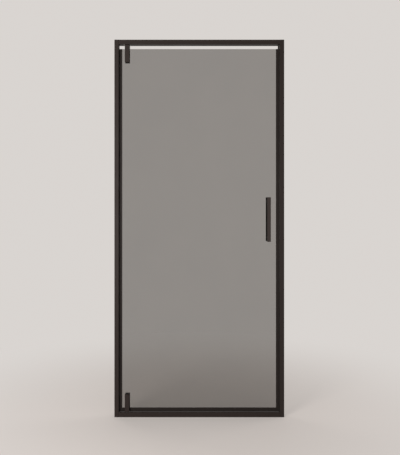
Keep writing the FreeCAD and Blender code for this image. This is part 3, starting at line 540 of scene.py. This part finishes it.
# %% Finish: stainless steel
def make_stainless_steel():
    material, tree, shader = new_material("stainless_steel_finish", Metallic=1.0)
    lines = place_group(tree, lines_group, Reach=(0.004, 0.004, 0.0002))["Height"]
    cloud = place_group(tree, slow_group, Size=0.01, Contrast=0.25)["Mask"]
    shade = calculate(tree, "MULTIPLY_ADD", lines, 0.5, calculate(tree, "MULTIPLY", cloud, 0.5))
    vary(tree, shader, shade, (0.46, 0.45, 0.435), (0.60, 0.59, 0.57), 0.2, 0.38)
    raise_surface(tree, shader, lines, 0.00001, 0.6)
    return material


finishes["stainless_steel"] = make_stainless_steel()
print("finish:", finishes["stainless_steel"].name)

# %% [markdown]
# ### Black oxide steel
#
# The clamp screws and the grub screws are hardened steel, blackened in a hot bath. The skin is a dark
# metal, a little brown in places, and wears to bare steel on the edges of the hexagon sockets.

# %% Finish: black steel
def make_black_steel():
    material, tree, shader = new_material("black_steel_finish", Metallic=0.85)
    cloud = place_group(tree, slow_group, Size=0.005, Contrast=0.25)["Mask"]
    vary(tree, shader, cloud, (0.026, 0.026, 0.028), (0.048, 0.043, 0.039), 0.34, 0.5)
    rub_edges(tree, shader, 0.0003, 0.002, 0.5, (0.30, 0.29, 0.28))
    grain = place_group(tree, grain_group, Size=0.0003, Coarse_Share=0.3)["Height"]
    raise_surface(tree, shader, grain, 0.00001)
    return material


finishes["black_steel"] = make_black_steel()
print("finish:", finishes["black_steel"].name)

# %% [markdown]
# ## Finishes go on the CAD nodes
#
# Each node arrives with a plain material named after its slot. The finish of that name takes its place.
# The drip seal, which lies across, gets its own version, and the handles get the paler copy of the coat
# that paints extra light on them.

# %% Assign the finishes
OWN_VERSION = {
    "bottom_drip_seal": across_seal,
    "bottom_drip_seal_end": across_seal,
    # the handles take the paler coat, painted light for the extra light on them
    "outer_handle_bar": handle_coat_painted_light,
    "outer_handle_posts": handle_coat_painted_light,
    "inner_handle_bar": handle_coat_painted_light,
    "inner_handle_posts": handle_coat_painted_light,
}

for name, node in frame["nodes"].items():
    slot = node.material_slots[0]
    slot.material = OWN_VERSION.get(name) or finishes[slot.material.name]
print("finished nodes:", len(frame["nodes"]))

# %% [markdown]
# ## Threads, sockets and cross recesses
#
# The CAD screws are plain: a head and a smooth shank. The real ones have threads, hexagon sockets and
# cross recesses. All of these are shapes whose distance from the axis depends on the angle alone, so a
# screw is a stack of rings from the bottom of its recess, over the head and down the shank. Each ring
# has its own outline. That needs no cutting of one mesh by another, and always closes.
#
# The sizes are measured on the CAD solid that each screw stands for, so they stay right if it changes.

# %% Measure the CAD screws
RING_SIDES = 24            # divides by 6 for hexagons and by 4 for crosses
SAME_POINT = 0.01 * MM
SHANK_END = 2 * MM         # the stretch at the tip that the shank is measured on


def separate_solids(node):
    """The points of each solid of a node, found by walking along its edges."""
    shape = bmesh.new()
    shape.from_mesh(frame["nodes"][node].data)
    bmesh.ops.remove_doubles(shape, verts=shape.verts, dist=SAME_POINT)
    unseen = set(shape.verts)
    solids = []
    while unseen:
        front = [unseen.pop()]
        points = []
        while front:
            here = front.pop()
            points.append(here.co.copy())
            for edge in here.link_edges:
                other = edge.other_vert(here)
                if other in unseen:
                    unseen.remove(other)
                    front.append(other)
        solids.append(points)
    shape.free()
    return solids


def middle_of(points):
    low = Vector(min(point[axis] for point in points) for axis in range(3))
    high = Vector(max(point[axis] for point in points) for axis in range(3))
    return (low + high) / 2


def measure_screw(points, inward):
    """Head and shank of one screw that points inward, and its place."""
    middle = middle_of(points)
    along = [(point - middle).dot(inward) for point in points]
    away = [((point - middle) - inward * reach).length for point, reach in zip(points, along)]
    top, tip = min(along), max(along)
    shank = max(radius for radius, reach in zip(away, along) if reach > tip - SHANK_END)
    wider = [reach for radius, reach in zip(away, along) if radius > shank * 1.05]
    under_head = max(wider, default=top)
    return {
        "top": middle + inward * top,
        "inward": inward,
        "length": tip - top,
        "shank": shank,
        "head": max(away),
        "head_height": under_head - top,
    }


example = measure_screw(separate_solids("top_housing_screws")[0], Vector((0, 0, 1)))
measured = ("length", "shank", "head", "head_height")
print("a housing screw, mm:", {key: round(example[key] / MM, 2) for key in measured})

# %% [markdown]
# An outline is a function that gives the distance from the axis at an angle. The thread's outline
# also depends on how far down the screw its ring lies: its crest moves once round for each pitch.

# %% Outlines of a ring
def circle(radius):
    return lambda angle: radius


def hexagon(across_flats):
    sector = math.radians(60)
    return lambda angle: across_flats / 2 / math.cos((angle + sector / 2) % sector - sector / 2)


def cross(reach, arm_width):
    """Four arms: as far as reach along each arm, and arm_width wide."""
    quarter = math.radians(90)

    def outline(angle):
        off_arm = abs((angle + quarter / 2) % quarter - quarter / 2)
        return min(reach, arm_width / 2 / math.sin(off_arm)) if off_arm > 0 else reach

    return outline


def thread_ring(crest, depth, pitch, down):
    """A screw thread's outline at one place down the screw."""
    def outline(angle):
        phase = (down / pitch + angle / math.tau) % 1.0
        ridge = 1 - abs(2 * phase - 1)
        return crest - depth * (1 - min(1.0, ridge * 1.25))

    return outline


corner = hexagon(4.0)(math.radians(30))
print("hexagon 4.0 across flats, corner at:", round(corner, 3))

# %% [markdown]
# The rings are listed from the middle of the recess outwards, over the head and down to the tip. A
# tapping screw's thread starts just under the head, while a machine screw keeps a smooth shank first.

# %% Rings of each kind of screw
THREAD_ROWS = 4            # rings in one pitch
SHARE_OF_CREST = 0.24      # depth of a thread
SHARP_FROM = 38            # degrees between two faces from which their edge is drawn sharp


def threaded_rings(start, end, crest, pitch, point=0.0):
    """Rings down a thread. The last stretch, point long, narrows to the tip."""
    depth = crest * SHARE_OF_CREST
    count = max(2, round((end - start) / pitch * THREAD_ROWS))
    rings = [(start, circle(crest - depth))]
    for row in range(1, count):
        down = start + (end - start) * row / count
        narrow = 1 - 0.4 * max(0.0, 1 - (end - down) / point) if point else 1.0
        rings.append((down, thread_ring(crest * narrow, depth, pitch, down)))
    rings.append((end, circle((crest - depth) * (0.55 if point else 0.9))))
    return rings


def pan_head_rings(size):
    """Rounded head with a cross recess, over a tapping thread."""
    head, height = size["head"], size["head_height"]
    recess = height * 0.72
    return [
        (recess, circle(head * 0.08)),
        (recess * 0.8, cross(head * 0.26, head * 0.16)),
        (0.02 * height, cross(head * 0.52, head * 0.24)),
        (0.0, circle(head * 0.62)),
        (height * 0.10, circle(head * 0.84)),
        (height * 0.30, circle(head * 0.96)),
        (height * 0.55, circle(head)),
        (height, circle(head)),
        (height, circle(size["shank"] * 0.9)),
    ]


def flat_head_rings(size):
    """Countersunk head with a cross recess."""
    head, height = size["head"], size["head_height"]
    return [
        (height * 0.9, circle(head * 0.08)),
        (height * 0.7, cross(head * 0.24, head * 0.15)),
        (0.02 * height, cross(head * 0.5, head * 0.22)),
        (0.0, circle(head * 0.6)),
        (0.0, circle(head * 0.97)),
        (height * 0.08, circle(head)),
        (height, circle(size["shank"] * 0.9)),
    ]


def socket_head_rings(size, socket, socket_depth):
    """Low domed head with a hexagon socket, over a smooth shank."""
    head, height = size["head"], size["head_height"]
    return [
        (socket_depth, circle(socket * 0.1)),
        (socket_depth * 0.86, hexagon(socket)),
        (height * 0.05, hexagon(socket)),
        (0.0, circle(socket * 0.66)),
        (height * 0.03, circle(head * 0.74)),
        (height * 0.16, circle(head * 0.88)),
        (height * 0.38, circle(head * 0.97)),
        (height * 0.62, circle(head)),
        (height, circle(head)),
        (height, circle(size["shank"])),
        (size["length"] * 0.55, circle(size["shank"])),
    ]


def grub_rings(size, socket, socket_depth):
    """Headless screw: a hexagon socket at one end."""
    return [
        (socket_depth, circle(socket * 0.1)),
        (socket_depth * 0.85, hexagon(socket)),
        (0.03 * size["length"], hexagon(socket)),
        (0.0, circle(socket * 0.66)),
        (0.0, circle(size["shank"] * 0.8)),
    ]


def stud_rings(size):
    return [(0.0, circle(size["shank"] * 0.4)), (0.0, circle(size["shank"] * 0.72))]


print("rings in a pan head:", len(pan_head_rings(example)))

# %% [markdown]
# A skin is stretched over the rings. The pieces that one CAD node holds become one object, which then
# stands for the node, rides on its body and takes its slot.

# %% Build the screws
def skin(shape, rings, size):
    """Closes one screw's rings into a solid, and puts it in place."""
    turn = size["inward"].to_track_quat("Z", "X").to_matrix()
    loops = []
    for down, outline in rings:
        loop = []
        for side in range(RING_SIDES):
            angle = math.tau * side / RING_SIDES
            radius = outline(angle)
            spot = Vector((radius * math.cos(angle), radius * math.sin(angle), down))
            loop.append(shape.verts.new(size["top"] + turn @ spot))
        loops.append(loop)
    for upper, lower in zip(loops, loops[1:]):
        for side in range(RING_SIDES):
            after = (side + 1) % RING_SIDES
            shape.faces.new((upper[side], upper[after], lower[after], lower[side]))
    shape.faces.new(loops[0][::-1])
    shape.faces.new(loops[-1])


def screws_for(node, inward_of, rings_of):
    """One object with a detailed screw for each solid of a node."""
    shape = bmesh.new()
    for points in separate_solids(node):
        size = measure_screw(points, inward_of(middle_of(points)))
        skin(shape, rings_of(size), size)
    bmesh.ops.recalc_face_normals(shape, faces=shape.faces)
    mesh = bpy.data.meshes.new(node + "_threaded")
    shape.to_mesh(mesh)
    shape.free()
    mesh.set_sharp_from_angle(angle=math.radians(SHARP_FROM))
    piece = bpy.data.objects.new(node + "_threaded", mesh)
    bpy.context.scene.collection.objects.link(piece)
    solid = frame["nodes"][node]
    mesh.materials.append(solid.material_slots[0].material)
    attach(piece, solid["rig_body"])
    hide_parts(node)
    print(node, "->", piece.name, "faces:", len(mesh.polygons))


print("ring sides:", RING_SIDES)

# %% [markdown]
# The tapping screws hold the frame together: four at each corner pair run through the jambs into the
# header and the sill, eight fix the jambs on the wall channels under the snap caps, and two flat-headed
# ones hold each pivot housing in its rail.

# %% Tapping screws
TAPPING_PITCH = 1.3 * MM
TAPPING_POINT = 2.5 * MM


def tapping_screw(head_rings):
    def rings(size):
        start = size["head_height"] + 0.3 * MM
        thread = threaded_rings(start, size["length"], size["shank"], TAPPING_PITCH, TAPPING_POINT)
        return head_rings(size) + thread
    return rings


def sideways_in(middle):
    return Vector((-1 if middle.x > 0 else 1, 0, 0))


def away_from_leaf(middle):
    return Vector((0, 0, 1 if middle.z > 1 else -1))


def from_shower(_middle):
    return Vector((0, -1, 0))


screws_for("corner_screws", sideways_in, tapping_screw(pan_head_rings))
screws_for("jamb_fixing_screws", from_shower, tapping_screw(pan_head_rings))
screws_for("top_housing_screws", away_from_leaf, tapping_screw(flat_head_rings))
screws_for("bottom_housing_screws", away_from_leaf, tapping_screw(flat_head_rings))

# %% [markdown]
# The machine screws are finer. Two clamp each pivot block on the glass from the shower side, a grub
# screw holds each pin in its block, and the handles share two studs with a grub screw at each post.

# %% Machine screws
CLAMP_PITCH = 1.0 * MM
CLAMP_SOCKET = 4.0 * MM
CLAMP_SOCKET_DEPTH = 2.2 * MM
PIN_GRUB_PITCH = 0.8 * MM
PIN_GRUB_SOCKET = 2.5 * MM
HANDLE_GRUB_PITCH = 0.7 * MM
HANDLE_GRUB_SOCKET = 2.0 * MM


def clamp_screw(size):
    thread = threaded_rings(size["length"] * 0.56, size["length"], size["shank"], CLAMP_PITCH)
    return socket_head_rings(size, CLAMP_SOCKET, CLAMP_SOCKET_DEPTH) + thread


def grub_screw(pitch, socket):
    def rings(size):
        thread = threaded_rings(0.04 * size["length"], size["length"], size["shank"], pitch)
        return grub_rings(size, socket, socket * 0.7) + thread
    return rings


def stud(size):
    return stud_rings(size) + threaded_rings(0.3 * MM, size["length"], size["shank"], CLAMP_PITCH)


def up_into_post(_middle):
    return Vector((0, 0, 1))


for end in ("top", "bottom"):
    screws_for(end + "_clamp_screws", from_shower, clamp_screw)
    screws_for(end + "_pin_set_screw", from_shower, grub_screw(PIN_GRUB_PITCH, PIN_GRUB_SOCKET))
screws_for("handle_set_screws", up_into_post, grub_screw(HANDLE_GRUB_PITCH, HANDLE_GRUB_SOCKET))
screws_for("handle_studs", from_shower, stud)

# %% [markdown]
# ## The arris of the glass
#
# Every edge of toughened glass is ground, which leaves a narrow slanting facet called the arris. It
# is what draws the bright thin line along the top of the leaf. The CAD leaf has its true outline with
# square edges, so a weld joins the seams of the imported mesh and a bevel cuts the facets.

# %% Arris on the leaf
ARRIS = 0.7 * MM
FLAT_UP_TO = math.radians(0.5)
EDGE_FROM = math.radians(60)

leaf = frame["nodes"]["glass_panel"]
weld = leaf.modifiers.new("join_seams", "WELD")
weld.merge_threshold = SAME_POINT
flatten = leaf.modifiers.new("one_face_each_side", "DECIMATE")
flatten.decimate_type = "DISSOLVE"
flatten.angle_limit = FLAT_UP_TO
facet = leaf.modifiers.new("arris", "BEVEL")
facet.width = ARRIS
facet.segments = 1
facet.limit_method = "ANGLE"
facet.angle_limit = EDGE_FROM
facet.harden_normals = False
print("arris mm:", round(ARRIS / MM, 2))

# %% [markdown]
# ## The studio
#
# The door stands on a plain pale floor that runs on without a visible end. Near the door the floor is
# a real surface that takes shadows. Further out it fades to the even colour of the surroundings, so no
# horizon crosses the glass. The camera, reflections and rays that pass through the glass all find
# that same pale colour, at full strength and on every side. The light that the surroundings throw on
# rough surfaces is a little weaker, and the lamps bring it up to a plain level: a grey card of 0.5 in
# place of the coat renders at 0.9 to 1.4 times its written value along the front of the frame.

# %% Floor and surroundings
SURROUNDINGS = (0.695, 0.662, 0.636)
LIGHTING = (0.50, 0.485, 0.475)
FLOOR_TONE = (0.61, 0.556, 0.526)
FLOOR_REACH = 60.0
FLOOR_DROP = 0.5 * MM      # keeps the floor off the underside of the sill
FADE_START = 0.3
FLOOR_GLOW = 0.35          # share of the even colour that the floor shows next to the door
FADE_END = 2.0


def look_of_surroundings(tree):
    """The colour that a ray finds out there, and whether it is one that shows the background."""
    path = add(tree, "ShaderNodeLightPath").outputs
    some = calculate(tree, "MAXIMUM", path["Is Camera Ray"], path["Is Glossy Ray"])
    some = calculate(tree, "MAXIMUM", some, path["Is Transmission Ray"])
    scattered = calculate(tree, "GREATER_THAN", path["Diffuse Depth"], 0.5)
    shows = calculate(tree, "MULTIPLY", some, calculate(tree, "SUBTRACT", 1.0, scattered))
    return blend_colours(tree, shows, LIGHTING, SURROUNDINGS), shows


def make_floor_finish():
    material, tree, shader = new_material("studio_floor_finish", Specular_IOR_Level=0.2)
    cloud = place_group(tree, slow_group, Size=0.5, Contrast=0.35)["Mask"]
    darker = tuple(tone * 0.97 for tone in FLOOR_TONE)
    vary(tree, shader, cloud, darker, FLOOR_TONE, 0.6, 0.7)
    colour, shows = look_of_surroundings(tree)
    glow = add(tree, "ShaderNodeEmission", {"Color": colour, "Strength": 1.0})
    out = add(tree, "ShaderNodeVectorMath", {0: surface_points(tree)}, operation="LENGTH")
    far = stretch(tree, out.outputs["Value"], FADE_START, FADE_END, FLOOR_GLOW, 1.0)
    share = calculate(tree, "MULTIPLY", far, shows)
    values = {0: share, 1: shader.outputs[0], 2: glow.outputs[0]}
    faded = add(tree, "ShaderNodeMixShader", values).outputs[0]
    tree.links.new(faded, tree.nodes["Material Output"].inputs["Surface"])
    return material


floor_mesh = bpy.data.meshes.new("studio_floor")
corners = [(-FLOOR_REACH, -FLOOR_REACH, 0), (FLOOR_REACH, -FLOOR_REACH, 0)]
corners += [(FLOOR_REACH, FLOOR_REACH, 0), (-FLOOR_REACH, FLOOR_REACH, 0)]
floor_mesh.from_pydata(corners, [], [(0, 1, 2, 3)])
floor_mesh.materials.append(make_floor_finish())
floor = bpy.data.objects.new("studio_floor", floor_mesh)
floor.location.z = -FLOOR_DROP
bpy.context.scene.collection.objects.link(floor)

world = bpy.data.worlds.new("studio_surroundings")
world.use_nodes = True
bpy.context.scene.world = world
air = world.node_tree
colour, shows = look_of_surroundings(air)
chosen = add(air, "ShaderNodeBackground", {"Color": colour, "Strength": 1.0}).outputs[0]
air.links.new(chosen, air.nodes["World Output"].inputs["Surface"])
print("floor fades from", FADE_START, "to", FADE_END, "m")

# %% [markdown]
# Two soft lamps give the light of the photograph. Its left jamb is brightest at mid height and the
# header fades to the right, which puts the key lamp well left of the camera, at handle height. A weak
# low one on the right lifts the handle. Their places and strengths were fitted to the photograph, so
# they stand for its light and don't copy it. Two more stand on the shower side, left and right, so that
# the back and the ends of the door can be seen. The glass would mirror the lamps as white squares, so
# light linking leaves the leaf out.

# %% Lamps
not_lit = bpy.data.collections.new("not_lit_by_lamps")
not_lit.objects.link(leaf)
not_lit.collection_objects[0].light_linking.link_state = "EXCLUDE"
LAMP_COLOUR = (1.0, 0.97, 0.94)
MIDDLE_OF_DOOR = Vector((0, 0, 1.0))


def soft_lamp(name, place, width, watts):
    light = bpy.data.lights.new(name, "AREA")
    light.shape = "RECTANGLE"
    light.size = width
    light.size_y = width
    light.energy = watts
    light.color = LAMP_COLOUR
    lamp = bpy.data.objects.new(name, light)
    lamp.location = place
    lamp.rotation_euler = (MIDDLE_OF_DOOR - place).to_track_quat("-Z", "Y").to_euler()
    lamp.visible_camera = False
    lamp.visible_transmission = False
    lamp.light_linking.receiver_collection = not_lit
    bpy.context.scene.collection.objects.link(lamp)


soft_lamp("key_lamp", Vector((-1.55, -2.5, 1.30)), 1.0, 66.0)
soft_lamp("fill_lamp", Vector((0.5, -3.2, 0.70)), 0.8, 7.0)
soft_lamp("back_lamp", Vector((-3.2, 3.0, 1.8)), 2.0, 40.0)
soft_lamp("side_lamp", Vector((3.6, 1.2, 1.7)), 2.0, 50.0)
print("lamps:", [item.name for item in bpy.data.lights])
